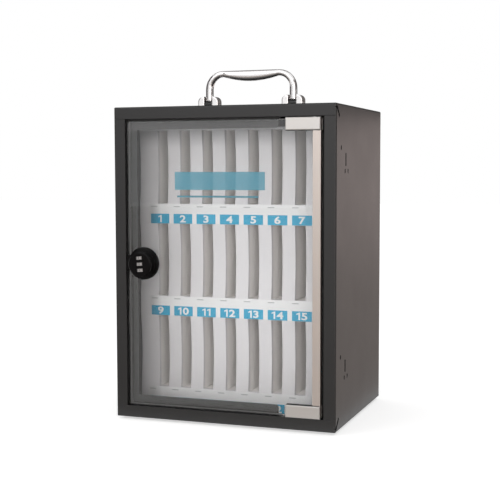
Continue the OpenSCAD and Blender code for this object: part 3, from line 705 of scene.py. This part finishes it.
def groundLine():
    wide = edgePlan["wide"]
    left = glassLow.x + edgePlan["left"]
    right = clampLeft - edgePlan["clear"]
    low = glassLow.z + edgePlan["bottom"]
    high = glassHigh.z - edgePlan["top"]
    lockMiddle = (lockLow.z + lockHigh.z) / 2
    halfGap = edgePlan["hook"] + edgePlan["clear"]
    sides = [
        (left, low + wide, left + wide, lockMiddle - halfGap),
        (left, lockMiddle + halfGap, left + wide, high - wide),
        (left, low, right, low + wide),
        (left, high - wide, right, high),
    ]
    return plates("glass_ground_edge", sides, edgePlan["proud"])


piece("glass_ground_edge", groundLine(), inks["ground_glass_edge"], "door")
print("glass edge done")


# Studio: pale floor and white surround

studio = {"floorReach": 8.0, "floorColours": ((0.89, 0.89, 0.89), (0.91, 0.91, 0.91)), "floorRough": 0.9,
          "floorCloud": {"size": 400 * mm, "detail": 2.0}, "floorGlow": 0.56,
          "sky": 0.60, "white": (1, 1, 1), "aim": (0, 0, 0.2)}


def level(left, near, right, far, z):
    return [(left, near, z), (right, near, z), (right, far, z), (left, far, z)]


def upright(start, end, low, high):
    return [(*start, low), (*end, low), (*end, high), (*start, high)]


def sloped(left, right, near, far):
    return [(left, *near), (right, *near), (right, *far), (left, *far)]


def stageQuad(name, corners, material):
    mesh = bpy.data.meshes.new(name)
    mesh.from_pydata(corners, [], [(0, 1, 2, 3)])
    mesh.materials.append(material)
    obj = linked(name, mesh)
    return obj


def floorPaint():
    f = Finish("studio_floor_white")
    dull, pale = studio["floorColours"]
    base = f.blend(f.noise(**studio["floorCloud"]), tone(dull), tone(pale))
    matte = f.surface(colour=base, rough=studio["floorRough"], level=0.0)
    glow = f.glow(studio["white"], f.seenRays() * studio["floorGlow"])
    return f.show(f.node("ShaderNodeAddShader", {}, {0: matte, 1: glow}))


def whiteSurround():
    f = Finish("white_surround", isWorld=True)
    strength = studio["sky"] + f.seenRays() * (1 - studio["sky"])
    inputs = {"Color": tone(studio["white"]), "Strength": strength}
    return f.show(f.node("ShaderNodeBackground", {}, inputs))


reach = studio["floorReach"]
stageQuad("studio_floor", level(-reach, -reach, reach, reach, 0), floorPaint())
scene.world = whiteSurround()


# Soft lamps

lamps = {
    "key_softbox": {"place": (-1.5, -1.9, 1.7), "power": 8.1, "size": 1.6, "tint": (1, 1, 1)},
    "fill_softbox": {"place": (0.8, -2.3, 0.55), "power": 9.8, "size": 0.9, "tint": (1.0, 0.93, 0.89)},
}
for name, plan in lamps.items():
    light = bpy.data.lights.new(name, "AREA")
    light.shape = "SQUARE"
    light.size = plan["size"]
    light.energy = plan["power"]
    light.color = plan["tint"]
    lamp = linked(name, light)
    lamp.location = plan["place"]
    beam = Vector(studio["aim"]) - Vector(plan["place"])
    lamp.rotation_euler = beam.to_track_quat("-Z", "Y").to_euler()


# Studio cards, which show in the shine of metal, paint and glass and nowhere else

cards = {
    "front_floor_card": {
        "tint": (0.42, 0.375, 0.345),
        "corners": level(-4, -7, 4, -0.125, 0.002)},
    "side_floor_card": {
        "tint": (0.66, 0.58, 0.54),
        "corners": level(0.16, -0.12, 7, 7, 0.002)},
    "side_card": {
        "tint": (1.25, 1.06, 1.01),
        "corners": upright((2.3, 2.1), (-0.1, 3.0), 0.003, 1.6)},
    "handle_flag": {
        "tint": (0.16, 0.15, 0.145),
        "corners": upright((-0.35, 0.28), (0.35, 0.28), 0.385, 0.62)},
    "high_card": {
        "tint": (1.7, 1.66, 1.68),
        "corners": upright((-2.4, -4), (-0.7, -4), 0.5, 0.585)},
    "front_high_card": {
        "tint": (2.3, 2.3, 2.36),
        "corners": upright((-3.2, -3.2), (0.6, -3.2), 0.90, 2.4)},
    "rear_flag": {
        "tint": (0.10, 0.09, 0.09),
        "corners": sloped(-2.0, 0.35, (0.45, 2.4), (2.6, 0.42))},
    "left_flag": {
        "tint": (0.07, 0.06, 0.06),
        "corners": upright((-1.3, -0.25), (-0.8, 1.3), 0.43, 1.3)},
    "left_near_flag": {
        "tint": (0.18, 0.17, 0.17),
        "corners": upright((-0.80, -1.28), (-1.3, -0.25), 0.4, 1.3)},
    "right_near_flag": {
        "tint": (0.40, 0.38, 0.38),
        "corners": upright((0.80, -1.40), (1.4, 0.3), 0.4, 1.3)},
    "right_flag": {
        "tint": (0.07, 0.06, 0.06),
        "corners": upright((1.4, 0.3), (0.85, 1.25), 0.5, 1.3)},
}
for name, plan in cards.items():
    f = Finish(name)
    card = stageQuad(name, plan["corners"], f.show(f.glow(plan["tint"])))
    card.visible_camera = False
    card.visible_diffuse = False
    card.visible_transmission = False
    card.visible_shadow = False


# The photograph's camera

photoView = {"place": (0.468788, -1.312823, 0.308786), "turn": (85.75254, 0.11277, 19.69),
             "lens": 79.10, "sensor": 36.0, "near": 0.01, "far": 100.0}
cameraData = bpy.data.cameras.new("photo_camera")
cameraData.sensor_fit = "HORIZONTAL"
cameraData.sensor_width = photoView["sensor"]
cameraData.lens = photoView["lens"]
cameraData.clip_start = photoView["near"]
cameraData.clip_end = photoView["far"]
camera = linked("photo_camera", cameraData)
camera.location = photoView["place"]
camera.rotation_euler = tuple(math.radians(a) for a in photoView["turn"])
scene.camera = camera
scene.view_settings.view_transform = "Standard"
print("studio ready")
